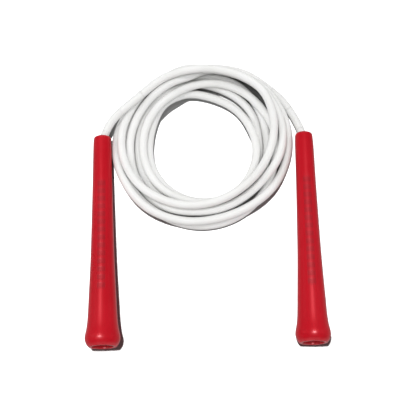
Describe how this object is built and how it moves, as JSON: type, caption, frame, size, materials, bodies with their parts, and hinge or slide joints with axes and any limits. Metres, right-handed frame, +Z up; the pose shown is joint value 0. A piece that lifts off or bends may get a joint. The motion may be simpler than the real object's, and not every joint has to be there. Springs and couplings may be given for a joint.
{
  "type": "jump rope",
  "caption": "Coiled jump rope: round plastic cord laid in a flat coil, each end running into the nose of a long hollow tapered handle with a flared open end",
  "frame": {"origin": "on the floor, below the middle of the whole laid-out rope's box", "axes": "+Z up off the floor, +Y from the open ends of the handles towards the coil, +X to the right handle; the rope lies as coiled for storage"},
  "size_m": [0.2224, 0.2818, 0.0336],
  "materials": {
    "cord": "white flexible PVC, smooth extruded satin gloss",
    "handle": "red moulded plastic, satin",
    "washer": "black nylon, plain",
    "lock": "white moulded plastic"
  },
  "bodies": {
    "coil": {"cord_coil": "cord"},
    "left_link": {"left_cord_link": "cord"},
    "left_end": {"left_cord_end": "cord", "left_lock_base": "lock", "left_lock_cap": "lock"},
    "left_washer_ring": {"left_washer": "washer"},
    "left_grip": {"left_handle": "handle"},
    "right_link": {"right_cord_link": "cord"},
    "right_end": {"right_cord_end": "cord", "right_lock_base": "lock", "right_lock_cap": "lock"},
    "right_washer_ring": {"right_washer": "washer"},
    "right_grip": {"right_handle": "handle"}
  },
  "joints": [
    {"name": "left_cord_swing", "type": "hinge", "parent": "coil", "child": "left_link", "pos_m": [-0.07634, 0.09232, 0.01887], "axis": [0, 0, -1], "range_deg": [0, 45]},
    {"name": "left_cord_lift", "type": "hinge", "parent": "left_link", "child": "left_end", "pos_m": [-0.09159, 0.07871, 0.0143], "axis": [-0.9994, -0.036, 0], "range_deg": [0, 60]},
    {"name": "left_handle_slide", "type": "slide", "parent": "left_end", "child": "left_washer_ring", "axis": [0.036, -0.9985, 0.0401], "range_m": [0, 0.0039]},
    {"name": "left_handle_spin", "type": "hinge", "parent": "left_washer_ring", "child": "left_grip", "pos_m": [-0.10207, 0.06248, 0.00845], "axis": [0.036, -0.9985, 0.0401], "continuous": true},
    {"name": "right_cord_swing", "type": "hinge", "parent": "coil", "child": "right_link", "pos_m": [0.07361, 0.1017, 0.00402], "axis": [0, 0, 1], "range_deg": [0, 45]},
    {"name": "right_cord_lift", "type": "hinge", "parent": "right_link", "child": "right_end", "pos_m": [0.08461, 0.08392, 0.00508], "axis": [-0.9999, -0.0117, 0], "range_deg": [0, 60]},
    {"name": "right_handle_slide", "type": "slide", "parent": "right_end", "child": "right_washer_ring", "axis": [0.0117, -0.9991, 0.0401], "range_m": [0, 0.0039]},
    {"name": "right_handle_spin", "type": "hinge", "parent": "right_washer_ring", "child": "right_grip", "pos_m": [0.09281, 0.0664, 0.00845], "axis": [0.0117, -0.9991, 0.0401], "continuous": true}
  ]
}
